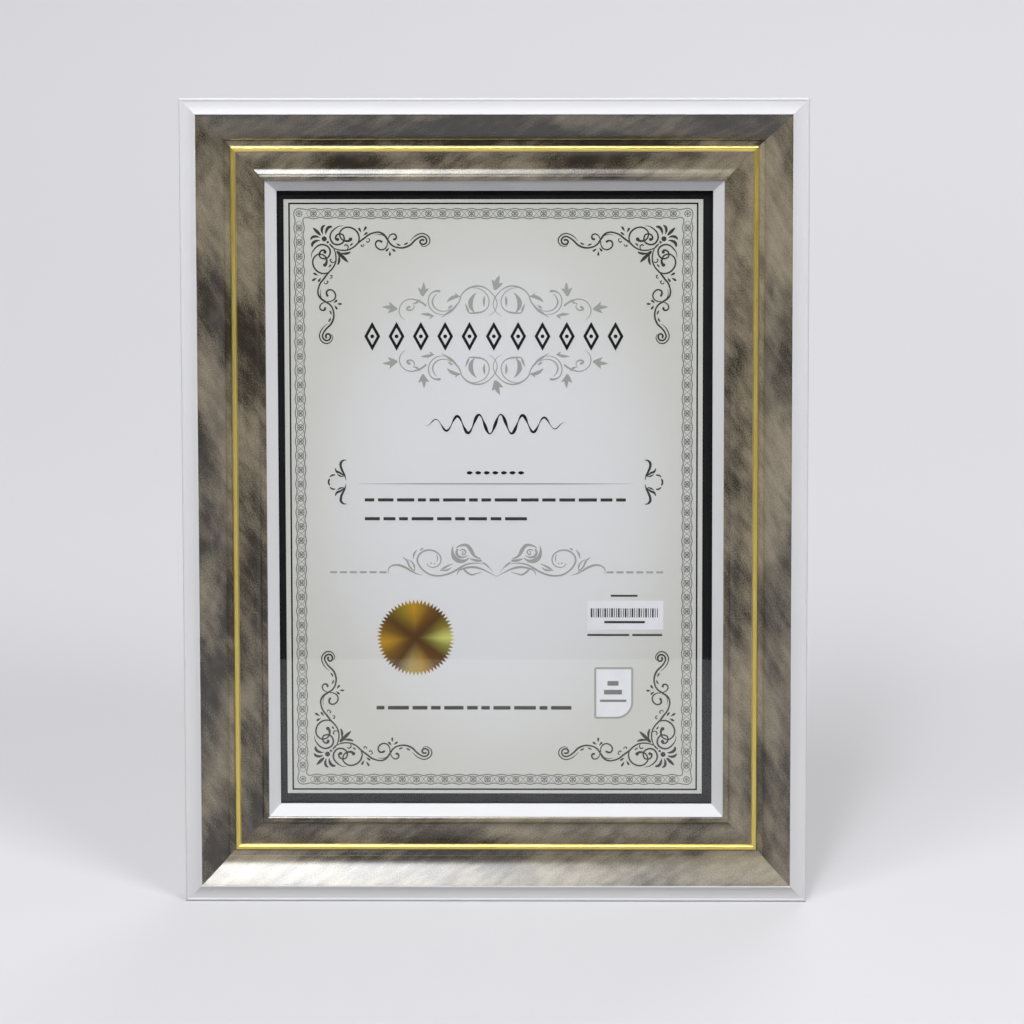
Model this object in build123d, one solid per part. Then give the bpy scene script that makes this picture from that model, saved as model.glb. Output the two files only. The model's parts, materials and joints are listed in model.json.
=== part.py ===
from build123d import *
import math
import os

# Certificate frame: four mitred rails round glass, sheet and back board, standing on a hinged strut.
# Lengths are in millimetres and angles in degrees. The pieces are drawn with the frame upright: X to the
# right, Y to the back from the rails' rear faces, Z up from the frame's middle. The whole is then leaned
# back, so that the bottom rail's outer side lies on the floor at Z = 0.

# Sheet, glass and board
SHEET_WIDTH = 210.0
SHEET_HEIGHT = 297.0
SHEET_THICKNESS = 0.3
GLASS_THICKNESS = 2.0
BOARD_THICKNESS = 3.0
SHEET_GAP = 0.1  # air between the glass and the sheet
BOARD_RECESS = 0.1  # from the rails' rear faces to the board's rear face
REBATE_CLEARANCE = 1.0  # round the glass and the sheet
BOARD_CLEARANCE = 0.5  # round the board

# Moulding, widths across its face from the outer edge to the sight edge
RIM_BEAD_WIDTH = 1.5
RIM_COVE_WIDTH = 5.7
RIM_CREST_WIDTH = 0.35
OUTER_BAND_WIDTH = 12.6
SHELF_WIDTH = 2.65
GOLD_BEAD_WIDTH = 2.75
INNER_FLAT_WIDTH = 7.15
INNER_COVE_WIDTH = 3.9
INNER_BEAD_WIDTH = 2.3
SIGHT_BEVEL_WIDTH = 5.25
LIP_WIDTH = 5.0  # how far the lip reaches over the rebate

# Moulding, heights from the rebate's ceiling to the crest
LIP_EDGE = 1.5
SIGHT_BEVEL_RISE = 4.4
INNER_STEP = 0.4
INNER_BEAD_FALL = 0.3
INNER_BEAD_CROWN = 0.3
INNER_COVE_RISE = 1.8
INNER_COVE_HOLLOW = 0.39
INNER_FLAT_FALL = 0.2
INNER_FLAT_HOLLOW = 0.19
GOLD_BEAD_RISE = 1.0
SHELF_STEP = 0.6
OUTER_BAND_RISE = 8.7
OUTER_BAND_CROWN = 0.8
CREST_STEP = 0.6
RIM_COVE_FALL = 1.5
RIM_COVE_HOLLOW = 0.35
RIM_BEAD_RISE = 0.3
RIM_BEAD_CROWN = 0.35

# Stance
LEAN = 8.0  # back from upright, also the slant of the rails' outer sides
STRUT_OPEN = 20.0  # between the strut and the board at rest

# Corner nails, bent from strip and driven in from behind across each mitre
NAIL_INSETS = (13.0, 30.0)  # from the outer corner along both rails
NAIL_LEG = 5.0
NAIL_STRIP = 0.6
NAIL_DEPTH = 8.0

# Turn buttons and their screws
BUTTON_PITCH = 105.0
BUTTON_INSET = 9.0  # from the rebate's wall to the pivot
BUTTON_WIDTH = 10.0
BUTTON_REACH = 18.0  # from the pivot to the tip
BUTTON_THICKNESS = 1.0
BUTTON_GAP = 0.15  # below and above the button
TAB_LENGTH = 3.5
TAB_RISE = 1.6
SCREW_RADIUS = 1.5
SCREW_LENGTH = 8.0
SCREW_HEAD_RADIUS = 2.9
SCREW_HEAD_HEIGHT = 1.8
SCREW_HEAD_RIM = 0.6
CROSS_LENGTH = 3.2
CROSS_WIDTH = 0.7
CROSS_DEPTH = 0.9
PIVOT_CLEARANCE = 0.06

# Strut hinge
HINGE_HEIGHT = 205.0  # of the pin above the frame's lower rear edge
HINGE_LENGTH = 44.0
LEAF_WIDTH = 14.0
LEAF_THICKNESS = 0.8
LEAF_CORNER = 2.0
KNUCKLES = 5
KNUCKLE_RADIUS = 1.7
KNUCKLE_GAP = 0.2
KNUCKLE_LIFT = 0.15  # from the board to the barrel
BARREL_GAP = 0.5  # from the barrel to the plates and the strut
PIN_RADIUS = 0.9
PIN_CLEARANCE = 0.05
PIN_HEAD_RADIUS = 1.4
PIN_HEAD_LENGTH = 0.6

# Strut
STRUT_THICKNESS = 3.0
STRUT_TOP_WIDTH = 60.0
STRUT_FOOT_WIDTH = 84.0
STRUT_LIFT = 0.4  # from the board to the strut's leaf when it is folded
SHOULDER_GAP = 1.5  # beside the hinge
STOP_GAP = 0.1  # from the shoulders to the board when the strut is open

# Rivets
RIVET_RADIUS = 1.5
RIVET_HEAD_RADIUS = 2.6
RIVET_HEAD_HEIGHT = 1.2
RIVET_HEAD_RIM = 0.4
FIT_CLEARANCE = 0.05  # round rivets and screws in their holes
RIVET_SPACING = 26.0

# Hangers
HANGER_INSET = 30.0  # from the board's edge to the ring's pivot
STRAP_WIDTH = 10.0
STRAP_LENGTH = 9.5
STRAP_THICKNESS = 0.8
STRAP_CORNER = 2.5
STRAP_RIVET = 5.5  # from the ring's pivot to the rivet
WIRE_RADIUS = 0.9
WIRE_CLEARANCE = 0.08
RING_WIDTH = 17.0  # between wire centres
RING_LENGTH = 17.5
RING_FOOT_RADIUS = 2.2
RING_BOW_RADIUS = 7.5

# Sizes that follow from the ones above
REBATE_DEPTH = GLASS_THICKNESS + SHEET_GAP + SHEET_THICKNESS + BOARD_THICKNESS + BOARD_RECESS
REBATE_WIDTH = SHEET_WIDTH + 2 * REBATE_CLEARANCE
REBATE_HEIGHT = SHEET_HEIGHT + 2 * REBATE_CLEARANCE
BOARD_WIDTH = REBATE_WIDTH - 2 * BOARD_CLEARANCE
BOARD_HEIGHT = REBATE_HEIGHT - 2 * BOARD_CLEARANCE
RIM_WIDTH = RIM_BEAD_WIDTH + RIM_COVE_WIDTH + RIM_CREST_WIDTH
GOLD_START = RIM_WIDTH + OUTER_BAND_WIDTH + SHELF_WIDTH
INNER_BAND_WIDTH = INNER_FLAT_WIDTH + INNER_COVE_WIDTH + INNER_BEAD_WIDTH
FACE_WIDTH = GOLD_START + GOLD_BEAD_WIDTH + INNER_BAND_WIDTH + SIGHT_BEVEL_WIDTH
OUTER_WIDTH = REBATE_WIDTH + 2 * (FACE_WIDTH - LIP_WIDTH)
OUTER_HEIGHT = REBATE_HEIGHT + 2 * (FACE_WIDTH - LIP_WIDTH)
INNER_BAND_HEIGHT = REBATE_DEPTH + LIP_EDGE + SIGHT_BEVEL_RISE + INNER_STEP
INNER_BEAD_HEIGHT = INNER_BAND_HEIGHT + INNER_BEAD_FALL
SHELF_HEIGHT = INNER_BEAD_HEIGHT - INNER_COVE_RISE + INNER_FLAT_FALL
CREST_HEIGHT = SHELF_HEIGHT + SHELF_STEP + OUTER_BAND_RISE + CREST_STEP
SIDE_HEIGHT = CREST_HEIGHT - RIM_COVE_FALL - RIM_BEAD_RISE
SIDE_SLANT = SIDE_HEIGHT * math.tan(math.radians(LEAN))

BOARD_REAR = -BOARD_RECESS
LOWER_REAR_EDGE = SIDE_SLANT - OUTER_HEIGHT / 2
PIN_Y = BOARD_REAR + KNUCKLE_LIFT + KNUCKLE_RADIUS
PIN_Z = LOWER_REAR_EDGE + HINGE_HEIGHT
STRUT_LEAF_FRONT = BOARD_REAR + STRUT_LIFT
STRUT_FRONT = STRUT_LEAF_FRONT + LEAF_THICKNESS
STRUT_REAR = STRUT_FRONT + STRUT_THICKNESS
PLATE_EDGE = KNUCKLE_RADIUS + BARREL_GAP
LOOP_RADIUS = WIRE_RADIUS + WIRE_CLEARANCE + STRAP_THICKNESS

# Upright to leaning, and folded to open
STAND = Rot(-LEAN, 0, 0) * Pos(0, SIDE_HEIGHT / 2, OUTER_HEIGHT / 2 - SIDE_SLANT / 2)
OPEN = Pos(0, PIN_Y, PIN_Z) * Rot(STRUT_OPEN, 0, 0) * Pos(0, -PIN_Y, -PIN_Z)
PORTRAIT_HANGER = Pos(0, BOARD_REAR, BOARD_HEIGHT / 2 - HANGER_INSET)
LANDSCAPE_HANGER = Pos(BOARD_WIDTH / 2 - HANGER_INSET, BOARD_REAR, 0) * Rot(0, 90, 0)
RING_PLUMB = Pos(0, LOOP_RADIUS, 0) * Rot(LEAN, 0, 0)
RING_FLAT = Pos(0, LOOP_RADIUS, 0)


def block(x, y, z):
    """Box from its limits along each axis."""
    size = [high - low for low, high in (x, y, z)]
    middle = [(low + high) / 2 for low, high in (x, y, z)]
    return Pos(*middle) * Box(*size)


def rod(radius, start, length):
    """Round bar along Y, towards the back from its start."""
    return Pos(0, start, 0) * Rot(-90, 0, 0) * Cylinder(
        radius, length, align=(Align.CENTER, Align.CENTER, Align.MIN))


def cross_rod(radius, length):
    """Round bar along X, centred on the origin."""
    return Rot(0, 90, 0) * Cylinder(radius, length)


def head(radius, height, rim):
    """Fastener head on the plane Y = 0: a short upright rim under a spherical dome."""
    cap = height - rim
    ball = (radius ** 2 + cap ** 2) / (2 * cap)
    half = radius / 2
    shoulder = height - ball + math.sqrt(ball ** 2 - half ** 2)
    outline = [
        Polyline((0, height), (0, 0), (radius, 0), (radius, rim)),
        ThreePointArc((radius, rim), (half, shoulder), (0, height)),
    ]
    return revolve(make_face(outline), Axis.Y)


def moulding_section():
    """Rail section: X runs inward from the outer edge, Y forward from the rear face."""
    bead = (RIM_BEAD_WIDTH, CREST_HEIGHT - RIM_COVE_FALL)
    crest = (RIM_BEAD_WIDTH + RIM_COVE_WIDTH, CREST_HEIGHT)
    crest_end = (RIM_WIDTH, CREST_HEIGHT)
    band_top = (RIM_WIDTH, CREST_HEIGHT - CREST_STEP)
    band_end = (RIM_WIDTH + OUTER_BAND_WIDTH, SHELF_HEIGHT + SHELF_STEP)
    shelf = (RIM_WIDTH + OUTER_BAND_WIDTH, SHELF_HEIGHT)
    gold = (GOLD_START, SHELF_HEIGHT)
    gold_top = (GOLD_START + GOLD_BEAD_WIDTH / 2, SHELF_HEIGHT + GOLD_BEAD_RISE)
    gold_end = (GOLD_START + GOLD_BEAD_WIDTH, SHELF_HEIGHT)
    inner_end = (FACE_WIDTH - SIGHT_BEVEL_WIDTH, INNER_BAND_HEIGHT)
    inner_bead = (FACE_WIDTH - SIGHT_BEVEL_WIDTH - INNER_BEAD_WIDTH, INNER_BEAD_HEIGHT)
    inner_cove = (gold_end[0] + INNER_FLAT_WIDTH, SHELF_HEIGHT - INNER_FLAT_FALL)
    bevel = (FACE_WIDTH - SIGHT_BEVEL_WIDTH, INNER_BAND_HEIGHT - INNER_STEP)
    sight = (FACE_WIDTH, REBATE_DEPTH + LIP_EDGE)
    lip_back = (FACE_WIDTH, REBATE_DEPTH)
    rebate = (FACE_WIDTH - LIP_WIDTH, REBATE_DEPTH)
    rear_inner = (FACE_WIDTH - LIP_WIDTH, 0)
    rear_outer = (SIDE_SLANT, 0)
    side = (0, SIDE_HEIGHT)
    return make_face([
        SagittaArc(side, bead, RIM_BEAD_CROWN),
        SagittaArc(bead, crest, -RIM_COVE_HOLLOW),
        Polyline(crest, crest_end, band_top),
        SagittaArc(band_top, band_end, OUTER_BAND_CROWN),
        Polyline(band_end, shelf, gold),
        ThreePointArc(gold, gold_top, gold_end),
        SagittaArc(gold_end, inner_cove, -INNER_FLAT_HOLLOW),
        SagittaArc(inner_cove, inner_bead, -INNER_COVE_HOLLOW),
        SagittaArc(inner_bead, inner_end, INNER_BEAD_CROWN),
        Polyline(inner_end, bevel, sight, lip_back, rebate, rear_inner, rear_outer, side),
    ])


def rail(length):
    """Mitred rail: its outer edge lies along X at Z = 0, its face below it."""
    end = Plane(origin=(length / 2, 0, 0), x_dir=(0, 0, -1), z_dir=(-1, 0, 0))
    bar = extrude(end * moulding_section(), amount=length)
    long_half = length / 2
    short_half = long_half - FACE_WIDTH
    mitred = make_face(Polyline(
        (-long_half, 0), (long_half, 0), (short_half, -FACE_WIDTH), (-short_half, -FACE_WIDTH), close=True))
    return bar & extrude(Plane.XZ * mitred, amount=2 * CREST_HEIGHT, both=True)


def corner_nails():
    """Bent nails at all four corners, one leg in each rail."""
    nails = []
    for side in (-1, 1):
        for level in (-1, 1):
            for inset in NAIL_INSETS:
                x = side * (OUTER_WIDTH / 2 - inset)
                z = level * (OUTER_HEIGHT / 2 - inset)
                half = NAIL_STRIP / 2
                flat = Rectangle(NAIL_LEG + half, NAIL_STRIP, align=(Align.MAX, Align.CENTER))
                upright = Rectangle(NAIL_STRIP, NAIL_LEG + half, align=(Align.CENTER, Align.MAX))
                outline = scale(Pos(half, 0) * flat + Pos(0, half) * upright, by=(side, level, 1))
                nails.append(extrude(Plane.XZ * (Pos(x, z) * outline), amount=NAIL_DEPTH))
    return nails


def button_places():
    """Name, place and turn of each turn button's pivot, with the button pointing over the board."""
    places = []
    for name, side in (("left", -1), ("right", 1)):
        for level, row in (("upper", 1), ("middle", 0), ("lower", -1)):
            pivot = Pos(side * (REBATE_WIDTH / 2 + BUTTON_INSET), 0, row * BUTTON_PITCH)
            turn = Rot(0, 180, 0) if side > 0 else Rot(0, 0, 0)
            places.append((f"turn_button_{name}_{level}", pivot * turn))
    return places


def turn_button():
    """Sprung steel button along +X from its pivot, with a raised thumb tab at its tip."""
    low = BUTTON_GAP
    high = BUTTON_GAP + BUTTON_THICKNESS
    bend = BUTTON_REACH - TAB_LENGTH
    side = make_face(Polyline(
        (-BUTTON_WIDTH / 2, low), (bend, low), (BUTTON_REACH, low + TAB_RISE),
        (BUTTON_REACH, high + TAB_RISE), (bend, high), (-BUTTON_WIDTH / 2, high), close=True))
    strip = extrude(side, amount=BUTTON_WIDTH / 2, both=True)
    spread = BUTTON_REACH - BUTTON_WIDTH / 2
    slot = Pos(spread / 2, 0) * SlotCenterToCenter(spread, BUTTON_WIDTH)
    outline = extrude(Plane.XZ * slot, amount=2 * (high + TAB_RISE), both=True)
    return (strip & outline) - rod(SCREW_RADIUS + PIVOT_CLEARANCE, 0, high)


def screw():
    """Pan head screw along Y at the origin, its head above the button."""
    seat = 2 * BUTTON_GAP + BUTTON_THICKNESS
    top = seat + SCREW_HEAD_HEIGHT
    cross = block(
        (-CROSS_LENGTH / 2, CROSS_LENGTH / 2), (top - CROSS_DEPTH, top), (-CROSS_WIDTH / 2, CROSS_WIDTH / 2))
    pan = Pos(0, seat, 0) * head(SCREW_HEAD_RADIUS, SCREW_HEAD_HEIGHT, SCREW_HEAD_RIM)
    shank = rod(SCREW_RADIUS, seat - SCREW_LENGTH, SCREW_LENGTH)
    return pan + shank - cross - Rot(0, 90, 0) * cross


def rivet(seat, grip):
    """Rivet along Y whose head sits at the seat, with its shank reaching forward through the grip."""
    dome = Pos(0, seat, 0) * head(RIVET_HEAD_RADIUS, RIVET_HEAD_HEIGHT, RIVET_HEAD_RIM)
    return dome + rod(RIVET_RADIUS, seat - grip, grip)


def rivet_hole(seat, grip):
    """Hole for one rivet through the grip."""
    return rod(RIVET_RADIUS + FIT_CLEARANCE, seat - grip, grip)


def hinge_rivet_places(direction):
    """Rivet centres on one hinge leaf, above the pin for +1 and below it for -1."""
    z = PIN_Z + direction * (PLATE_EDGE + LEAF_WIDTH / 2)
    return [Pos(x, 0, z) for x in (-RIVET_SPACING / 2, RIVET_SPACING / 2)]


def hinge_leaf(front, direction, own):
    """Leaf whose plate starts at the given front, with its own knuckles round the pin."""
    rear = front + LEAF_THICKNESS
    pitch = HINGE_LENGTH / KNUCKLES
    plate = RectangleRounded(HINGE_LENGTH, LEAF_WIDTH, LEAF_CORNER)
    leaf = Pos(0, rear, PIN_Z + direction * (PLATE_EDGE + LEAF_WIDTH / 2)) * extrude(
        Plane.XZ * plate, amount=LEAF_THICKNESS)
    corner_reach = PLATE_EDGE + LEAF_CORNER
    for index in own:
        middle = (index - (KNUCKLES - 1) / 2) * pitch
        span = (middle - (pitch - KNUCKLE_GAP) / 2, middle + (pitch - KNUCKLE_GAP) / 2)
        reach = sorted((PIN_Z, PIN_Z + direction * corner_reach))
        leaf += block(span, (front, rear), reach)
        leaf += Pos(middle, PIN_Y, PIN_Z) * cross_rod(KNUCKLE_RADIUS, pitch - KNUCKLE_GAP)
    leaf -= Pos(0, PIN_Y, PIN_Z) * cross_rod(PIN_RADIUS + PIN_CLEARANCE, HINGE_LENGTH)
    for place in hinge_rivet_places(direction):
        leaf -= place * rivet_hole(rear, LEAF_THICKNESS)
    return leaf


def hinge_pin():
    """Pin through all knuckles, with a head at each end."""
    pin = cross_rod(PIN_RADIUS, HINGE_LENGTH + 2 * PIN_HEAD_LENGTH)
    end = cross_rod(PIN_HEAD_RADIUS, PIN_HEAD_LENGTH)
    for side in (-1, 1):
        pin += Pos(side * (HINGE_LENGTH + PIN_HEAD_LENGTH) / 2, 0, 0) * end
    return Pos(0, PIN_Y, PIN_Z) * pin


def foot_level(y):
    """Height, on the folded strut, of the cut that lies on the floor when the strut is open."""
    turn = math.radians(STRUT_OPEN)
    slope = math.tan(math.radians(LEAN))
    offset = y - PIN_Y
    drop = LOWER_REAR_EDGE - PIN_Z + PIN_Y * slope + offset * (math.cos(turn) * slope - math.sin(turn))
    return PIN_Z + drop / (math.cos(turn) + math.sin(turn) * slope)


def easel_strut():
    """Folded strut, tapered and notched round the hinge, with shoulders that stop on the back board."""
    turn = math.radians(STRUT_OPEN)
    lever = PIN_Y - BOARD_REAR - STOP_GAP - (PIN_Y - STRUT_FRONT) * math.cos(turn)
    shoulder = PIN_Z + lever / math.sin(turn)
    notch = HINGE_LENGTH / 2 + PIN_HEAD_LENGTH + SHOULDER_GAP
    low = min(foot_level(STRUT_FRONT), foot_level(STRUT_REAR))
    top_half = STRUT_TOP_WIDTH / 2
    foot_half = STRUT_FOOT_WIDTH / 2
    outline = make_face(Polyline(
        (-foot_half, low), (foot_half, low), (top_half, shoulder), (notch, shoulder),
        (notch, PIN_Z - PLATE_EDGE), (-notch, PIN_Z - PLATE_EDGE), (-notch, shoulder),
        (-top_half, shoulder), close=True))
    side = make_face(Polyline(
        (STRUT_FRONT, foot_level(STRUT_FRONT)), (STRUT_REAR, foot_level(STRUT_REAR)),
        (STRUT_REAR, shoulder), (STRUT_FRONT, shoulder), close=True))
    slab = extrude(Plane.YZ * side, amount=STRUT_FOOT_WIDTH / 2, both=True)
    strut = slab & extrude(Plane.XZ * outline, amount=2 * STRUT_REAR, both=True)
    for place in hinge_rivet_places(-1):
        strut -= place * rivet_hole(STRUT_REAR, STRUT_THICKNESS)
    return strut


def hanger_strap():
    """Strap on the plane Y = 0, rolled round the ring's foot along X at Z = 0, its plate below."""
    plate = Pos(0, -STRAP_LENGTH / 2) * Rectangle(STRAP_WIDTH, STRAP_LENGTH)
    plate = fillet(plate.vertices().group_by(Axis.Y)[0], STRAP_CORNER)
    strap = Pos(0, STRAP_THICKNESS, 0) * extrude(Plane.XZ * plate, amount=STRAP_THICKNESS)
    strap += Pos(0, LOOP_RADIUS, 0) * cross_rod(LOOP_RADIUS, STRAP_WIDTH)
    strap -= Pos(0, LOOP_RADIUS, 0) * cross_rod(WIRE_RADIUS + WIRE_CLEARANCE, STRAP_WIDTH)
    return strap - Pos(0, 0, -STRAP_RIVET) * rivet_hole(STRAP_THICKNESS, STRAP_THICKNESS)


def hanger_ring():
    """Wire ring whose straight foot lies along X through the origin, its bow below."""
    half = RING_WIDTH / 2
    corners = [(-half, 0), (half, 0), (half, -RING_LENGTH), (-half, -RING_LENGTH)]
    radii = [RING_FOOT_RADIUS, RING_FOOT_RADIUS, RING_BOW_RADIUS, RING_BOW_RADIUS]
    path = FilletPolyline(corners, radius=radii, close=True)
    wire = sweep(Plane(origin=path @ 0, z_dir=path % 0) * Circle(WIRE_RADIUS), path=path)
    return Rot(90, 0, 0) * wire


def rails(cuts):
    """The four mitred rails, with the nails' and screws' places cut out."""
    upper = Pos(0, 0, OUTER_HEIGHT / 2) * rail(OUTER_WIDTH)
    outer = Pos(0, 0, OUTER_WIDTH / 2) * rail(OUTER_HEIGHT)
    whole = {
        "rail_top": upper,
        "rail_bottom": Rot(0, 180, 0) * upper,
        "rail_left": Rot(0, -90, 0) * outer,
        "rail_right": Rot(0, 90, 0) * outer,
    }
    return {name: shape - cuts for name, shape in whole.items()}


def glazing():
    """Glass, sheet and back board, stacked in the rebate from the lip to the rear."""
    across = (-SHEET_WIDTH / 2, SHEET_WIDTH / 2)
    upward = (-SHEET_HEIGHT / 2, SHEET_HEIGHT / 2)
    glass_front = -REBATE_DEPTH
    sheet_front = glass_front + GLASS_THICKNESS + SHEET_GAP
    board = block(
        (-BOARD_WIDTH / 2, BOARD_WIDTH / 2),
        (BOARD_REAR - BOARD_THICKNESS, BOARD_REAR),
        (-BOARD_HEIGHT / 2, BOARD_HEIGHT / 2))
    for place in hinge_rivet_places(1) + strap_rivet_places():
        board -= place * rivet_hole(BOARD_REAR, BOARD_THICKNESS)
    return {
        "glass_pane": block(across, (glass_front, glass_front + GLASS_THICKNESS), upward),
        "certificate_sheet": block(across, (sheet_front, sheet_front + SHEET_THICKNESS), upward),
        "back_board": board,
    }


def strap_rivet_places():
    """Rivet axes of both hanger straps, on the rails' rear plane."""
    down = Pos(0, -BOARD_REAR, -STRAP_RIVET)
    return [PORTRAIT_HANGER * down, LANDSCAPE_HANGER * down]


def fixed_hardware():
    """Metal fixed to the rails and the board."""
    leaf_seat = BOARD_REAR + LEAF_THICKNESS
    strap_seat = BOARD_REAR + STRAP_THICKNESS
    leaf_rivet = rivet(leaf_seat, LEAF_THICKNESS + BOARD_THICKNESS)
    strap_rivet = rivet(strap_seat, STRAP_THICKNESS + BOARD_THICKNESS)
    return {
        "turn_button_screws": Compound([place * screw() for _, place in button_places()]),
        "hinge_board_leaf": hinge_leaf(BOARD_REAR, 1, range(0, KNUCKLES, 2)),
        "hinge_board_rivets": Compound([place * leaf_rivet for place in hinge_rivet_places(1)]),
        "hinge_pin": hinge_pin(),
        "hanger_strap_portrait": PORTRAIT_HANGER * hanger_strap(),
        "hanger_strap_landscape": LANDSCAPE_HANGER * hanger_strap(),
        "hanger_rivets": Compound([place * strap_rivet for place in strap_rivet_places()]),
    }


def strut_pieces():
    """The strut, its hinge leaf and its rivets, swung open."""
    strut_rivet = rivet(STRUT_REAR, STRUT_THICKNESS + LEAF_THICKNESS)
    return {
        "easel_strut": OPEN * easel_strut(),
        "hinge_strut_leaf": OPEN * hinge_leaf(STRUT_LEAF_FRONT, -1, range(1, KNUCKLES, 2)),
        "hinge_strut_rivets": OPEN * Compound([place * strut_rivet for place in hinge_rivet_places(-1)]),
    }


def loose_pieces():
    """The turn buttons over the board, and the hanger rings: one hanging plumb, one lying flat."""
    pieces = {name: place * turn_button() for name, place in button_places()}
    pieces["hanger_ring_portrait"] = PORTRAIT_HANGER * RING_PLUMB * hanger_ring()
    pieces["hanger_ring_landscape"] = LANDSCAPE_HANGER * RING_FLAT * hanger_ring()
    return pieces


def main():
    nails = corner_nails()
    screw_hole = rod(SCREW_RADIUS + FIT_CLEARANCE, -SCREW_LENGTH, SCREW_LENGTH)
    nodes = rails(nails + [place * screw_hole for _, place in button_places()])
    nodes["corner_nails"] = Compound(nails)
    nodes.update(glazing())
    nodes.update(fixed_hardware())
    nodes.update(strut_pieces())
    nodes.update(loose_pieces())
    os.makedirs("parts", exist_ok=True)
    for name, shape in nodes.items():
        export_step(STAND * shape, f"parts/{name}.step")


if __name__ == "__main__":
    main()
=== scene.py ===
import json
import math

import bpy
import numpy as np
from mathutils import Matrix


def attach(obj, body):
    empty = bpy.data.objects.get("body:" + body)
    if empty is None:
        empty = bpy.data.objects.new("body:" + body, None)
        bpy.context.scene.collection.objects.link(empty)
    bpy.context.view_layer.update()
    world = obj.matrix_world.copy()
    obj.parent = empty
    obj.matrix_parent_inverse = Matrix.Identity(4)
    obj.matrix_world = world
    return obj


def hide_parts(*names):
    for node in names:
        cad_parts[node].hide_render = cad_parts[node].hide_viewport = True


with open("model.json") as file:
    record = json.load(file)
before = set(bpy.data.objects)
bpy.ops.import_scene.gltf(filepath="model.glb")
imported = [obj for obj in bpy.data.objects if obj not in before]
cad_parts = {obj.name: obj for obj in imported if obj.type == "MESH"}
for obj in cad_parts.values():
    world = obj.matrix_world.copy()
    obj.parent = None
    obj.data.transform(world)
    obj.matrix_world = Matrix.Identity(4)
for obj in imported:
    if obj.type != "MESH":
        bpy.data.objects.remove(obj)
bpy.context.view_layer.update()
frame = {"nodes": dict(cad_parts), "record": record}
scene = bpy.context.scene
mm = 0.001
print("frame loaded,", len(frame["nodes"]), "nodes")


# where the leaning frame stands, read from the solids
def nodePoints(name):  # a node's corners as rows of x, y, z
    mesh = frame["nodes"][name].data
    flat = np.empty(len(mesh.vertices) * 3, dtype=np.float32)
    mesh.vertices.foreach_get("co", flat)
    return flat.reshape(-1, 3).astype(float)


railNames = ("rail_top", "rail_right", "rail_bottom", "rail_left")
railPoints = np.concatenate([nodePoints(name) for name in railNames])
wallFace = next(mount for mount in frame["record"]["mounts"] if mount["name"] == "wall_face")
rightward = np.array([1.0, 0.0, 0.0])
backward = np.array(wallFace["axis"])
upward = np.cross(rightward, backward)
outerWidth = np.ptp(railPoints[:, 0]) / mm
outerHeight = np.ptp(railPoints @ upward) / mm
middleUp = 0.5 * ((railPoints @ upward).max() + (railPoints @ upward).min())
rearPlane = (railPoints @ backward).max()
sheetFront = (rearPlane - (nodePoints("certificate_sheet") @ backward).min()) / mm


# x to the right and z up from the frame's middle, h forward from the rails' backs, all in mm
def place(x, z, h):
    x, z, h = np.broadcast_arrays(x, z, h)
    offset = x[..., None] * rightward + z[..., None] * upward - h[..., None] * backward
    return offset * mm + middleUp * upward + rearPlane * backward


def quarterTurn(x, z, turn):  # clockwise, as the rails follow one another
    return [(x, z), (z, -x), (-x, -z), (-z, x)][turn]


def newObject(name, data):
    made = bpy.data.objects.new(name, data)
    scene.collection.objects.link(made)
    return made


def makePiece(name, points, faces, finishes, faceFinish=None, uv=None):
    mesh = bpy.data.meshes.new(name)
    mesh.from_pydata(points.tolist(), [], faces)
    for finish in finishes:
        mesh.materials.append(finish)
    if faceFinish is not None:
        mesh.polygons.foreach_set("material_index", faceFinish)
    if uv is not None:
        mesh.uv_layers.new(name="UVMap").data.foreach_set("uv", np.asarray(uv, dtype=np.float32).ravel())
    mesh.update()
    return newObject(name, mesh)


def mathsNode(operation):  # an operator on two sockets, or on a socket and a number
    return lambda self, other: self.node("ShaderNodeMath", {"operation": operation}, {0: self, 1: other})


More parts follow.
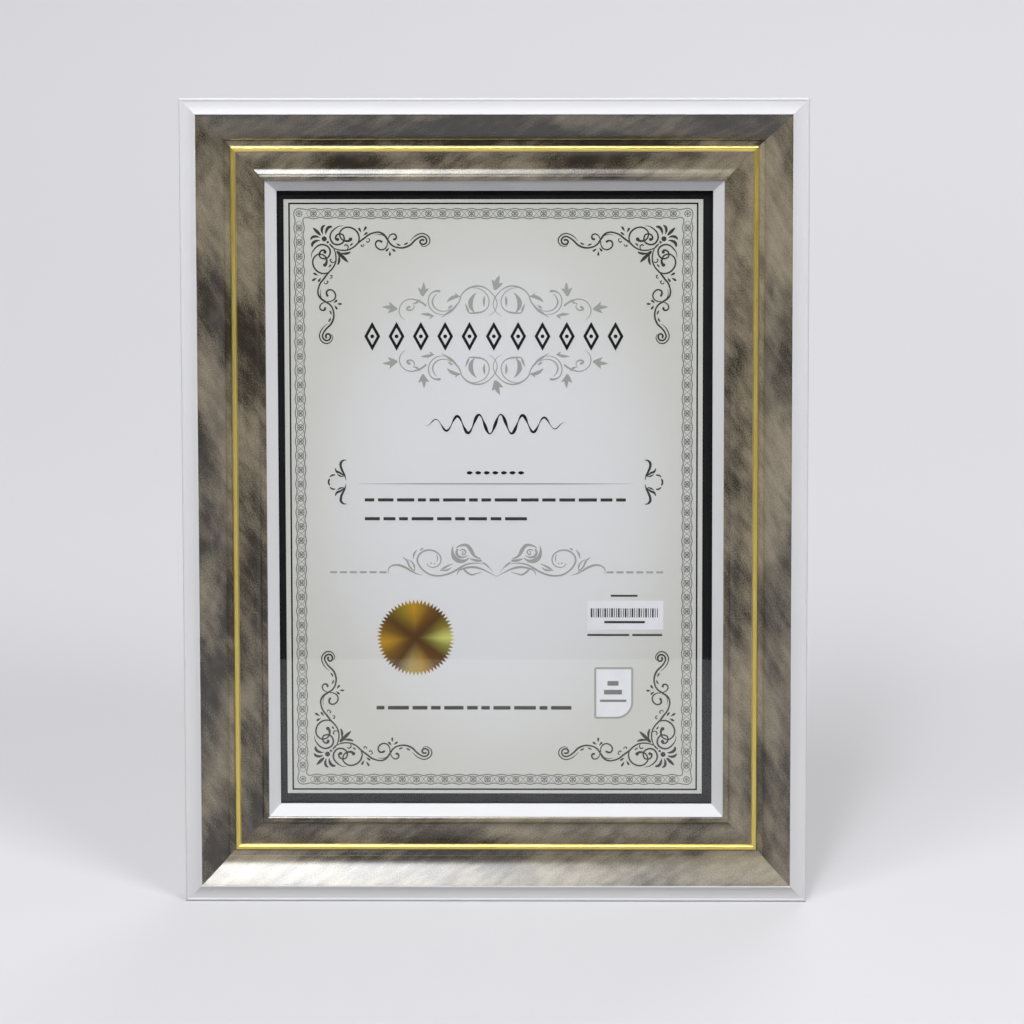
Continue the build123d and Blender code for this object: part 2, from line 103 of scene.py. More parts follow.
# shader sockets as values: + - * / and ** on them add Math nodes
class Pin:
    __add__ = __radd__ = mathsNode("ADD")
    __sub__ = mathsNode("SUBTRACT")
    __mul__ = mathsNode("MULTIPLY")
    __truediv__ = mathsNode("DIVIDE")
    __pow__ = mathsNode("POWER")

    def __init__(self, tree, socket=None):
        self.tree = tree
        self.socket = socket

    def node(self, kind, settings=None, sockets=None, out=0):
        made = self.tree.nodes.new(kind)
        for key, value in (settings or {}).items():
            if key == "stops":
                made.color_ramp.elements.remove(made.color_ramp.elements[1])
                made.color_ramp.elements[0].position = value[0][0]
                made.color_ramp.elements[0].color = value[0][1]
                for spot, tint in value[1:]:
                    made.color_ramp.elements.new(spot).color = tint
            else:
                setattr(made, key, value)
        self.feed(made, sockets or {})
        return Pin(self.tree, made.outputs[out])

    def feed(self, made, sockets):
        for key, value in sockets.items():
            if isinstance(value, Pin):
                self.tree.links.new(value.socket, made.inputs[key])
            else:
                made.inputs[key].default_value = value

    def ease(self, low, high):  # 0 below low, 1 above high, smooth between
        return self.node("ShaderNodeMapRange", {"interpolation_type": "SMOOTHSTEP"},
                         {"Value": self, "From Min": low, "From Max": high})

    def blend(self, low, high):  # colour low where the value is 0, high where it is 1
        return self.node("ShaderNodeMix", {"data_type": "RGBA"}, {0: self, 6: low, 7: high}, out=2)

    def stretch(self, x, y, z):
        return self.node("ShaderNodeVectorMath", {"operation": "MULTIPLY"}, {0: self, 1: (x, y, z)})

    def noise(self, scale, detail=2.0, rough=0.5):
        return self.node("ShaderNodeTexNoise", None,
                         {"Vector": self, "Scale": scale, "Detail": detail, "Roughness": rough})

    def cells(self, scale):
        return self.node("ShaderNodeTexVoronoi", None, {"Vector": self, "Scale": scale})

    def bump(self, depth):  # depth in metres
        return self.node("ShaderNodeBump", None, {"Height": self, "Strength": 1.0, "Distance": depth})

    def ownMap(self):
        return self.node("ShaderNodeUVMap", {"uv_map": "UVMap"})

    def ownPlace(self):
        return self.node("ShaderNodeTexCoord", None, None, "Object")

    def rays(self, *kinds):  # 1 on rays of the named kinds, 0 on the others
        found = [self.node("ShaderNodeLightPath", None, None, "Is " + kind + " Ray") for kind in kinds]
        total = found[0]
        for ray in found[1:]:
            total = total + ray
        return total

    def axes(self):
        split = self.node("ShaderNodeSeparateXYZ", None, {0: self})
        return [Pin(self.tree, socket) for socket in split.socket.node.outputs]


def newFinish(name):
    finish = bpy.data.materials.new(name)
    finish.use_nodes = True
    return finish, Pin(finish.node_tree), finish.node_tree.nodes["Principled BSDF"]


def showMixed(finish, mixed):  # a mix of shaders as the surface
    output = finish.node_tree.nodes["Material Output"]
    finish.node_tree.links.new(mixed.socket, output.inputs["Surface"])


def colour(red, green, blue):
    return (red, green, blue, 1.0)


# finishes of the moulding, on its own UV map: u along the rail, v across it, in metres
taupe = {
    "dark": colour(0.018, 0.0125, 0.006),
    "light": colour(0.33, 0.282, 0.198),
    "warm": colour(0.125, 0.092, 0.07),
    "drift": 0.9,
    "cloud": 38.0,
    "streak": 210.0,
    "grain": 1500.0,
    "blush": 90.0,
    "slant": 0.6,
    "shares": (0.36, 0.66, 0.28, 0.32),  # of drift, cloud, streak and grain in the tone
    "darken": 0.47,
    "relief": 0.00002,
}


def taupeFoil():
    finish, root, shader = newFinish("taupe_foil")
    uv = root.ownMap()
    drift = uv.stretch(1.0, 0.0, 1.0).noise(taupe["drift"], 0.0).ease(0.3, 0.7)
    cloud = uv.stretch(0.5, 1.0, 1.0).noise(taupe["cloud"], 3.0, 0.55).ease(0.32, 0.68)
    slanted = uv.node("ShaderNodeMapping", None, {"Vector": uv, "Rotation": (0.0, 0.0, taupe["slant"])})
    streak = slanted.stretch(0.3, 1.0, 1.0).noise(taupe["streak"], 3.0, 0.6).ease(0.3, 0.7)
    grain = uv.noise(taupe["grain"], 2.0, 0.6).ease(0.3, 0.7)
    pebble = uv.cells(taupe["grain"] * 0.8)
    aside = uv.node("ShaderNodeMapping", None, {"Vector": uv, "Location": (3.1, 1.7, 0.0)})
    blush = aside.noise(taupe["blush"], 2.0).ease(0.5, 0.75) * 0.35
    parts = [part * share for part, share in zip((drift, cloud, streak, grain), taupe["shares"])]
    tone = parts[0] + parts[1] + parts[2] + parts[3] - taupe["darken"]
    tinted = blush.blend(tone.blend(taupe["dark"], taupe["light"]), taupe["warm"])
    root.feed(shader, {
        "Base Color": tinted,
        "Roughness": 0.42 + cloud * 0.1 - grain * 0.06,
        "Specular IOR Level": 0.25,
        "Coat Weight": 0.85 + streak * 0.15,
        "Coat Roughness": 0.19,
        "Coat IOR": 1.7,
        "Normal": (pebble * 0.5 + grain * 0.5).bump(taupe["relief"]),
    })
    return finish


rim = {
    "low": colour(0.635, 0.635, 0.66),
    "high": colour(0.705, 0.705, 0.725),
    "draw": 2600.0,
    "cloud": 60.0,
    "relief": 0.000006,
}


def rimPearl():
    finish, root, shader = newFinish("pearl_white_foil")
    uv = root.ownMap()
    drawn = uv.stretch(0.01, 1.0, 1.0).noise(rim["draw"], 3.0, 0.6)
    cloud = uv.noise(rim["cloud"], 3.0)
    root.feed(shader, {
        "Base Color": (drawn * 0.5 + cloud * 0.5).blend(rim["low"], rim["high"]),
        "Roughness": 0.4 + drawn * 0.12 + cloud * 0.06,
        "Specular IOR Level": 0.3,
        "Coat Weight": 0.12,
        "Coat Roughness": 0.25,
        "Normal": drawn.bump(rim["relief"]),
    })
    return finish


gold = {
    "low": colour(0.8, 0.6, 0.12),
    "high": colour(1.0, 0.84, 0.3),
    "wander": 140.0,
    "speck": 2400.0,
    "relief": 0.000012,
}


def goldFoil():
    finish, root, shader = newFinish("gold_foil")
    uv = root.ownMap()
    wander = uv.stretch(0.4, 1.0, 1.0).noise(gold["wander"], 4.0)
    speck = uv.noise(gold["speck"], 2.0)
    root.feed(shader, {
        "Base Color": (wander * 0.7 + speck * 0.3).blend(gold["low"], gold["high"]),
        "Roughness": 0.26 + wander * 0.1 + speck * 0.06,
        "Metallic": 1.0,
        "Normal": speck.bump(gold["relief"]),
    })
    return finish


core = {
    "low": colour(0.50, 0.48, 0.44),
    "high": colour(0.68, 0.66, 0.62),
    "cell": 1400.0,
    "cloud": 90.0,
    "relief": 0.00012,
}


def foamCore():
    finish, root, shader = newFinish("raw_foam_core")
    where = root.ownPlace()
    cell = where.cells(core["cell"])
    cloud = where.noise(core["cloud"], 3.0)
    root.feed(shader, {
        "Base Color": (cell * 0.5 + cloud * 0.5).blend(core["low"], core["high"]),
        "Roughness": 0.78 + cloud * 0.15,
        "Normal": cell.bump(core["relief"]),
    })
    return finish


# the section in mm: inward from the outer edge, forward from the back, then the bow of the run
# to the next corner (outward above 0, hollow below) and that run's finish
moulding = {
    "edgeRound": 0.14,
    "hairline": 0.07,
    "rows": 13,
    "arcSteps": 14,
    "finishes": ("rim", "taupe", "gold", "core"),
    "patternStart": (21.4, 25.41, 19.42, 27.43),
    "section": [
        (2.614, 0.0, 0.0, "rim"),
        (0.0, 18.6, 0.35, "rim"),
        (1.5, 18.9, -0.35, "rim"),
        (7.2, 20.4, 0.0, "rim"),
        (7.55, 20.4, 0.0, "rim"),
        (7.55, 19.8, 0.8, "taupe"),
        (20.15, 11.1, 0.0, "taupe"),
        (20.15, 10.5, 0.0, "taupe"),
        (22.8, 10.5, 1.0, "gold"),
        (25.55, 10.5, -0.19, "taupe"),
        (32.7, 10.3, -0.39, "taupe"),
        (36.6, 12.1, 0.3, "taupe"),
        (38.9, 11.8, 0.0, "taupe"),
        (38.9, 11.4, 0.0, "rim"),
        (44.15, 7.0, 0.0, "rim"),
        (44.15, 5.5, 0.0, "core"),
        (39.15, 5.5, 0.0, "core"),
        (39.15, 0.0, 0.0, "core"),
    ],
}


# an arc of sagitta bow over the chord from start to end, cut short by trim at both ends;
# with half angle a = 2 atan(2 bow / chord) it is (sin t, cos t) times chord / (2 sin a), t from -a to a
def arcRun(start, end, bow, trim):
    chord = np.hypot(*(end - start))
    ahead = (end - start) / chord
    left = np.array([-ahead[1], ahead[0]])
    steps = 2 if bow == 0.0 else moulding["arcSteps"]
    share = np.linspace(trim / chord, 1.0 - trim / chord, steps)[:, None]
    if bow == 0.0:
        return start + share * (end - start), np.repeat(ahead[None], len(share), axis=0)
    half = 2.0 * math.atan(2.0 * bow / chord)
    turn = half * (2.0 * share - 1.0)
    radius = 0.5 * chord / math.sin(half)
    rise = radius * (np.cos(turn) - math.cos(half))
    points = start + (0.5 * chord + radius * np.sin(turn)) * ahead + rise * left
    return points, np.cos(turn) * ahead - np.sin(turn) * left


# the whole section: each run, then a parabola that rounds the corner to the next run
def sectionCurve():
    corners = np.array([row[:2] for row in moulding["section"]])
    count = len(corners)
    sizes = np.hypot(*(np.roll(corners, -1, axis=0) - corners).T)
    trim = min(moulding["edgeRound"], 0.3 * sizes.min())
    runs = []
    for index, row in enumerate(moulding["section"]):
        runs.append(arcRun(corners[index], corners[(index + 1) % count], row[2], trim))
    points, tangents, finishes = [], [], []
    share = np.array([0.25, 0.5, 0.75])[:, None]
    for index, (run, heading) in enumerate(runs):
        nextRun, nextHeading = runs[(index + 1) % count]
        corner = corners[(index + 1) % count]
        rounded = (1 - share) ** 2 * run[-1] + 2 * share * (1 - share) * corner + share ** 2 * nextRun[0]
        turned = (1 - share) * heading[-1] + share * nextHeading[0]
        points.extend([run, rounded])
        tangents.extend([heading, turned / np.linalg.norm(turned, axis=1, keepdims=True)])
        finishes.extend([moulding["finishes"].index(moulding["section"][index][3])] * (len(run) + 3))
    return np.concatenate(points), np.concatenate(tangents), np.array(finishes)


# the section carried along a rail; the ends run out by the distance across, which is the mitre
def makeRail(name, length, turn, finishes, patternStart):
    points, tangents, runFinish = sectionCurve()
    outward = np.stack([-tangents[:, 1], tangents[:, 0]], axis=1)
    eased = points - moulding["hairline"] * outward
    rows = moulding["rows"]
    share = np.linspace(-1.0, 1.0, rows)[:, None]
    along = share * (0.5 * length - points[:, 0] - moulding["hairline"])
    endRun = 0.5 * length - eased[:, 0]
    along = np.concatenate([-endRun[None], along, endRun[None]])
    across, height = [np.concatenate([end[None], np.repeat(run[None], rows, axis=0), end[None]])
                      for run, end in zip(points.T, eased.T)]
    reach = 0.5 * (outerHeight if turn % 2 == 0 else outerWidth) - across
    grid = place(*quarterTurn(along, reach, turn), height)
    rowCount, count = along.shape
    i, j = np.meshgrid(np.arange(rowCount - 1), np.arange(count), indexing="ij")
    k = (j + 1) % count
    near, far = i * count, (i + 1) * count
    quads = np.stack([near + j, near + k, far + k, far + j], axis=-1).reshape(-1, 4)
    firstCap = np.arange(count)[::-1]
    lastCap = np.arange(count) + (rowCount - 1) * count
    step = np.hypot(*np.diff(np.vstack([points, points[:1]]), axis=0).T)
    v = np.concatenate([[0.0], np.cumsum(step)]) * mm
    u = along * mm + patternStart
    uv = np.stack([np.stack([u[i, j], v[j]], -1), np.stack([u[i, k], v[j + 1]], -1),
                   np.stack([u[i + 1, k], v[j + 1]], -1), np.stack([u[i + 1, j], v[j]], -1)], axis=-2)
    capUv = np.stack([u.ravel()[firstCap], v[firstCap]], -1), np.stack([u.ravel()[lastCap], v[:count]], -1)
    uv = np.concatenate([uv.reshape(-1, 2), capUv[0], capUv[1]])
    endFinish = moulding["finishes"].index("core")
    faceFinish = np.concatenate([np.tile(runFinish, rowCount - 1), [endFinish, endFinish]])
    piece = makePiece(name, grid.reshape(-1, 3), quads.tolist() + [firstCap.tolist(), lastCap.tolist()],
                      finishes, faceFinish, uv)
    # shading follows the section's own slope, the end faces stay flat
    outX, outZ = quarterTurn(0, 1, turn)
    slope = outward[:, :1] * -(outX * rightward + outZ * upward) - outward[:, 1:] * backward
    ends = [piece.data.polygons[-2].normal, piece.data.polygons[-1].normal]
    loopNormals = np.concatenate([slope[np.stack([j, k, k, j], -1).reshape(-1)],
                                  np.repeat([ends[0]], count, axis=0), np.repeat([ends[1]], count, axis=0)])
    piece.data.normals_split_custom_set(loopNormals.tolist())
    return piece


railFinishes = [rimPearl(), taupeFoil(), goldFoil(), foamCore()]
for turn, railName in enumerate(railNames):
    length = outerWidth if turn % 2 == 0 else outerHeight
    rail = makeRail("foiled_" + railName, length, turn, railFinishes, moulding["patternStart"][turn])
    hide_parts(railName)
    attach(rail, "frame")
print("rails swept and mitred")


# flat strips of ink: the surface between a left and a right edge, both rows of x, z in mm on the sheet
def strip(left, right):
    count = len(left)
    i = np.arange(count - 1)
    return np.concatenate([left, right]), np.stack([i, i + count, i + count + 1, i + 1], axis=1)


# smooth line through a few knots: cubic pieces whose slopes follow the knots on either side
def penLine(knots, count):
    knots = np.array(knots, dtype=float)
    reach = np.concatenate([[0.0], np.cumsum(np.hypot(*np.diff(knots, axis=0).T))])
    slope = np.gradient(knots, reach, axis=0, edge_order=min(2, len(knots) - 1))
    at = np.linspace(0.0, reach[-1], count)
    i = np.clip(np.searchsorted(reach, at, side="right") - 1, 0, len(reach) - 2)
    gap = (reach[i + 1] - reach[i])[:, None]
    t = (at - reach[i])[:, None] / gap
    start = (2 * t ** 3 - 3 * t ** 2 + 1) * knots[i] + (t ** 3 - 2 * t ** 2 + t) * gap * slope[i]
    return start + (3 * t ** 2 - 2 * t ** 3) * knots[i + 1] + (t ** 3 - t ** 2) * gap * slope[i + 1]


# a pen line swelling through the given widths, spread evenly along it
def stroke(knots, widths, count=0):
    path = penLine(knots, count or 8 * len(knots))
    share = np.linspace(0.0, 1.0, len(path))
    width = np.interp(share, np.linspace(0.0, 1.0, len(widths)), widths)[:, None]
    ahead = np.gradient(path, axis=0)
    side = np.stack([-ahead[:, 1], ahead[:, 0]], axis=1) / np.linalg.norm(ahead, axis=1, keepdims=True)
    return strip(path + 0.5 * width * side, path - 0.5 * width * side)


def dot(x, z, radius, count=9):  # a disc cut into upright slices
    turn = np.linspace(0.1, math.pi - 0.1, count)
    along = x - radius * np.cos(turn)
    rise = radius * np.sin(turn)
    return strip(np.stack([along, z + rise], 1), np.stack([along, z - rise], 1))


# a leaf: its width is the sine of pi times t to the power heavy, so above 1 its far end is the fuller;
# its middle leans to one side by bend times its length
leafForm = {"ends": (0.08, 0.97), "widths": 9, "blunt": 0.8, "steps": 11}


def leaf(start, end, width, bend=0.0, heavy=1.0):
    start, end = np.array(start), np.array(end)
    side = np.array([start[1] - end[1], end[0] - start[0]])
    along = np.linspace(*leafForm["ends"], leafForm["widths"])
    arch = np.sin(math.pi * along ** heavy) ** leafForm["blunt"]
    return stroke([start, 0.5 * (start + end) + bend * side, end], width * arch, leafForm["steps"])


# an ivy leaf: one long blade, and a lobe to each side that leaves it near its foot
ivyForm = {
    "blade": (1.1, 0.05, 0.8),  # share of the width, bend and heavy
    "lobe": (0.85, -0.25, 0.85),  # the same, but the bend is a share of the lobe's way to its side
    "foot": 0.04,
    "reach": 0.58,
    "sides": (0.42, -0.36),
}


def ivy(foot, tip, width):
    foot, tip = np.array(foot), np.array(tip)
    along = tip - foot
    side = np.array([-along[1], along[0]])
    full, lean, heavy = ivyForm["blade"]
    shapes = [leaf(foot, tip, full * width, lean, heavy)]
    full, lean, heavy = ivyForm["lobe"]
    lobeFoot = foot + ivyForm["foot"] * along
    for way in ivyForm["sides"]:
        lobeTip = foot + ivyForm["reach"] * along + way * side
        shapes.append(leaf(lobeFoot, lobeTip, full * width, lean * way, heavy))
    return shapes


def flatBar(start, end, z, height):  # a level bar from start to end
    return stroke([(start, z), (end, z)], (height, height), 2)


def bar(x, z, width, height):  # a level bar around x, z
    return flatBar(x - 0.5 * width, x + 0.5 * width, z, height)


squareTurn = np.array([(-1, -1), (1, -1), (1, 1), (-1, 1), (-1, -1)])


def ring(width, height, line, x=0.0, z=0.0):  # a rectangle drawn as a mitred line around its middle
    half = 0.5 * np.array([width, height])
    return strip(squareTurn * (half - 0.5 * line) + (x, z), squareTurn * (half + 0.5 * line) + (x, z))


def mirror(shapes, x=1.0, z=1.0, axisZ=0.0):
    flipped = []
    for points, quads in shapes:
        turned = np.array([0.0, axisZ]) + (points - (0.0, axisZ)) * (x, z)
        flipped.append((turned, quads if x * z > 0 else quads[:, ::-1]))
    return flipped


# all shapes of one ink as one piece, lifted off the sheet and given the ink's own thickness;
# shapes drawn one after another lie at a few heights, so that none shares a plane where they cross
ink = {"lift": 0.035, "thickness": 0.02, "layers": 3, "step": 0.003, "grain": 2600.0, "cloud": 120.0}


def printPiece(name, shapes, finish, lift=0.0, uv=None):
    sizes = np.cumsum([0] + [len(shape[0]) for shape in shapes])
    points = np.concatenate([shape[0] for shape in shapes])
    quads = np.concatenate([shape[1] + start for shape, start in zip(shapes, sizes)])
    layer = np.arange(len(shapes)) % (ink["layers"] if uv is None else 1)
    height = np.repeat(ink["step"] * layer, np.diff(sizes)) + sheetFront + ink["lift"] + lift
    rows = place(points[:, 0], points[:, 1], height)
    corners = None if uv is None else uv[quads.ravel()]
    piece = makePiece(name, rows, quads.tolist(), [finish], None, corners)
    thick = piece.modifiers.new("ink", "SOLIDIFY")
    thick.thickness = ink["thickness"] * mm
    thick.offset = -1.0
    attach(piece, "frame")
    return piece


def inkFinish(name, tint, rough=0.45):
    finish, root, shader = newFinish(name)
    where = root.ownPlace()
    spread = where.noise(ink["grain"], 2.0, 0.7) * 0.6 + where.noise(ink["cloud"], 3.0) * 0.4
    deep = colour(*[0.82 * part for part in tint])
    thin = colour(*[min(1.0, 1.2 * part + 0.004) for part in tint])
    root.feed(shader, {"Base Color": spread.blend(deep, thin), "Roughness": rough + spread * 0.2,
                       "Specular IOR Level": 0.1})
    return finish


blackInk = inkFinish("black_ink", (0.010, 0.010, 0.012), 0.35)
darkInk = inkFinish("dark_grey_ink", (0.048, 0.044, 0.041))
midInk = inkFinish("mid_grey_ink", (0.19, 0.19, 0.185))
paleInk = inkFinish("pale_grey_ink", (0.35, 0.355, 0.34))
whiteInk = inkFinish("white_label_ink", (0.77, 0.765, 0.82))

# black edge of the print, which ends just inside the sheet, and the line within it
border = {"light": (194.3, 280.3), "middle": (-0.74, 0.03), "line": (189.2, 276.4, 0.75), "bare": 1.0}
sheetPoints = nodePoints("certificate_sheet")
sheetSize = np.array([np.ptp(sheetPoints[:, 0]), np.ptp(sheetPoints @ upward)]) / mm
outerEdge = squareTurn * (0.5 * (sheetSize - border["bare"]))
lightEdge = squareTurn * (0.5 * np.array(border["light"])) + border["middle"]
printPiece("print_black_border", [strip(lightEdge, outerEdge)], blackInk)
printPiece("print_edge_line", [ring(*border["line"], *border["middle"])], blackInk)

# chain of scalloped links round the sheet, each with a ring round a small star
chain = {
    "width": 180.0,
    "height": 266.9,
    "across": 27,
    "down": 40,
    "half": 2.1,
    "swell": 0.3,
    "line": 0.5,
    "thin": 0.34,
    "ring": 1.45,
    "arm": 1.4,
    "heart": 0.45,
    "lattice": 1.45,
}


def chainFlower():  # a fine ring, six spokes inside it and a dark heart
    around = np.linspace(0.0, 2 * math.pi, 13)
    circle = np.stack([np.cos(around), np.sin(around)], 1)
    inner, outer = chain["ring"] - 0.5 * chain["thin"], chain["ring"] + 0.5 * chain["thin"]
    shapes = [strip(inner * circle, outer * circle), dot(0.0, 0.0, chain["heart"], 5)]
    for spoke in (30.0, 90.0, 150.0):
        tip = chain["arm"] * np.array([math.cos(math.radians(spoke)), math.sin(math.radians(spoke))])
        shapes.append(stroke([-tip, tip], (chain["thin"], chain["thin"]), 2))
    return shapes


# a link's outline is half + swell cos(2 pi x) on both sides; two fine lines of lattice |sin(2 pi x)|,
# one up and one down, meet in the heart and cross in each neck
def chainLink(pitch):
    x = np.linspace(-0.5, 0.5, 11)
    wave = chain["half"] + chain["swell"] * np.cos(2 * math.pi * x)
    net = chain["lattice"] * np.abs(np.sin(2 * math.pi * x))
    shapes = chainFlower()
    for side in (1.0, -1.0):
        for rise, line in ((wave, chain["line"]), (net, chain["thin"])):
            edge = np.stack([x * pitch, side * rise], 1)
            shapes.append(strip(edge + (0, 0.5 * line), edge - (0, 0.5 * line)))
    return shapes


# links in a row along one side, reach away from the middle of the sheet
def chainSide(pitch, count, turn, reach):
    spots = (np.arange(count) - 0.5 * (count - 1)) * pitch
    shapes = []
    for points, quads in chainLink(pitch):
        row = points[None] + np.stack([spots, np.full(count, reach)], 1)[:, None]
        faces = quads[None] + (np.arange(count) * len(points))[:, None, None]
        x, z = quarterTurn(*row.reshape(-1, 2).T, turn)
        shapes.append((np.stack([x, z], 1) + border["middle"], faces.reshape(-1, 4)))
    return shapes


# the corner link: a flower with an arc round its outer side and a short one in the nook, out to both rows
def chainCorner(sideX, sideZ):
    reach = chain["half"] + chain["swell"]
    arc = [(3.4, 1.8), (1.6, 2.2), (0.0, reach), (-1.6, 1.9),
           (-1.9, 1.6), (-reach, 0.0), (-2.2, -1.6), (-1.8, -3.4)]
    nook = [(3.4, -1.8), (2.4, -2.0), (2.0, -2.4), (1.8, -3.4)]
    shapes = chainFlower() + [stroke(path, (chain["line"], chain["line"]), 22) for path in (arc, nook)]
    spot = np.array(border["middle"]) + 0.5 * np.array([sideX * chain["width"], sideZ * chain["height"]])
    return [(points + spot, quads) for points, quads in mirror(shapes, -sideX, sideZ)]


sheetCorners = ((1, 1), (1, -1), (-1, 1), (-1, -1))
links = []
for turn in range(4):
    across = turn % 2 == 0
    linkCount = chain["across" if across else "down"]
    pitch = chain["width" if across else "height"] / linkCount
    links.extend(chainSide(pitch, linkCount - 1, turn, 0.5 * chain["height" if across else "width"]))
for sideX, sideZ in sheetCorners:
    links.extend(chainCorner(sideX, sideZ))
printPiece("print_chain_border", links, midInk)
print("border printed")

# corner scrolls: knots in mm inward and down from the corner of the ornament, for one arm
corner = {
    "place": (85.2, 128.1),
    "middle": (-0.4, 0.15),
    "strokes": [
        # stem from the flower to the far spiral
        ((0.3, 0.65, 0.7, 0.85, 0.7, 0.9, 0.7, 0.9, 0.75, 0.8, 0.9),
         [(8.8, 8.9), (9.8, 10.1), (13.0, 11.6), (15.2, 11.9), (17.3, 11.7), (19.6, 10.7), (22.8, 7.9),
          (25.1, 6.2), (27.3, 4.5), (29.4, 3.7), (31.3, 3.4), (33.1, 3.8), (34.6, 5.0), (35.6, 6.5),
          (37.3, 9.0), (38.7, 10.0), (40.6, 10.6), (42.9, 10.7), (46.0, 9.6), (48.9, 6.9), (50.4, 5.9),
          (52.0, 5.4), (53.3, 5.9), (54.0, 7.1), (53.7, 8.4), (52.4, 9.1), (51.2, 8.7), (50.9, 7.7),
          (51.6, 7.0), (52.9, 7.3)]),
        # the two facing spirals
        ((0.6, 0.8, 0.75, 0.7, 0.7, 1.25),
         [(22.3, 8.0), (22.7, 6.2), (22.3, 4.3), (21.0, 2.5), (19.4, 1.5), (17.7, 1.1), (16.1, 1.3),
          (14.6, 2.3), (13.7, 3.7), (13.8, 5.3), (14.5, 6.6), (15.9, 7.4), (17.5, 7.5), (18.7, 6.9)]),
        ((0.2, 0.65, 0.8, 0.8, 0.75, 0.7, 0.95),
         [(15.3, 0.5), (13.0, 0.8), (11.3, 1.9), (9.8, 3.5), (9.2, 5.3), (9.5, 7.0), (10.5, 8.5),
          (11.6, 9.1), (13.0, 9.2), (14.6, 8.6), (15.7, 7.3), (15.7, 5.9), (15.1, 4.6), (14.0, 4.2),
          (12.9, 4.4), (11.9, 5.4), (11.9, 6.6), (12.7, 7.0)]),
        # curls off the stem
        ((0.4, 0.65, 0.7, 0.75, 1.0),
         [(35.7, 7.7), (35.6, 9.6), (34.6, 11.1), (32.9, 11.6), (31.5, 11.1), (30.4, 9.8), (30.3, 8.6),
          (31.1, 7.5), (32.1, 7.4), (33.0, 7.9)]),
        ((0.4, 0.6, 0.7, 0.95),
         [(36.2, 6.5), (36.8, 5.1), (37.9, 4.3), (39.2, 4.4), (39.9, 5.4), (39.7, 6.4), (38.9, 6.8)]),
        ((0.35, 0.6, 0.55), [(17.1, 11.3), (17.6, 10.3), (17.1, 9.5), (16.3, 9.3), (15.9, 9.8)]),
        ((0.3, 0.5, 0.55), [(24.7, 8.9), (24.9, 9.5), (24.3, 10.0), (23.6, 9.8), (23.8, 9.2)]),
        ((0.3, 0.5, 0.55), [(26.5, 6.5), (27.5, 6.7), (27.3, 7.7), (26.5, 8.1), (26.1, 7.5)]),
        ((0.15, 0.4, 0.15), [(30.0, 4.8), (31.9, 4.5), (34.0, 5.0), (35.1, 6.5)]),
        ((0.15, 0.5, 0.55, 0.6, 0.5, 0.3),
         [(46.2, 7.7), (48.1, 5.6), (49.9, 4.5), (52.0, 4.0), (54.1, 4.8), (55.4, 6.7), (55.2, 8.4),
          (54.1, 9.6), (52.6, 10.1), (51.2, 9.5)]),
        # petals of the flower
        ((0.2, 0.9, 1.25, 1.15, 0.5), [(6.0, 4.4), (5.4, 2.7), (5.7, 1.1), (6.9, 0.2)]),
        ((0.2, 0.95, 1.35, 1.35, 0.7), [(7.3, 4.6), (7.5, 2.7), (8.5, 1.2), (10.2, 0.9)]),
        ((0.2, 0.7, 1.25, 0.6), [(12.7, 12.8), (15.2, 13.4), (17.0, 13.3), (18.6, 12.7)]),
    ],
    "leaves": [((23.7, 3.6), (22.4, 1.3), 1.05, 0.0, 1.8), ((24.6, 3.1), (26.1, 0.7), 1.05, 0.0, 1.8),
               ((24.6, 4.9), (26.6, 3.5), 1.0, 0.0, 1.8), ((36.6, 10.6), (35.0, 12.4), 1.0, 0.0, 1.8),
               ((37.5, 11.0), (39.5, 12.4), 1.0, 0.0, 1.8), ((36.9, 12.2), (36.9, 14.5), 1.0, 0.0, 1.8),
               ((18.4, 9.7), (19.8, 8.5), 0.75), ((40.0, 8.7), (42.0, 9.5), 0.75, 0.1),
               ((43.4, 9.1), (45.3, 8.1), 0.8, 0.1)],
    "dots": [(18.7, 6.7, 0.85), (12.7, 6.8, 0.75), (33.0, 7.8, 0.55), (38.9, 6.7, 0.55)],
}
cornerFlower = {  # on the diagonal, drawn once
    "leaves": [((4.9, 4.9), (1.3, 1.3), 1.5), ((12.9, 12.9), (17.6, 17.5), 1.6),
               ((12.2, 12.2), (14.6, 14.6), 1.5)],
    "dots": [(6.5, 6.5, 1.2), (8.1, 8.1, 0.58)],
}


def scrollShapes(setting):
    shapes = [stroke(knots, widths) for widths, knots in setting.get("strokes", [])]
    shapes.extend(leaf(*row) for row in setting.get("leaves", []))
    shapes.extend(dot(*row) for row in setting.get("dots", []))
    for row in setting.get("ivies", []):
        shapes.extend(ivy(*row))
    return shapes


arm = scrollShapes(corner)
arm.extend([(points[:, ::-1], quads[:, ::-1]) for points, quads in arm])
arm.extend(scrollShapes(cornerFlower))
fromCorner = [(corner["place"] - points, quads) for points, quads in arm]
scrolls = []
for sideX, sideZ in sheetCorners:
    turned = mirror(fromCorner, sideX, sideZ)
    scrolls.extend((points + corner["middle"], quads) for points, quads in turned)
printPiece("print_corner_scrolls", scrolls, darkInk)
print("corner scrolls printed")

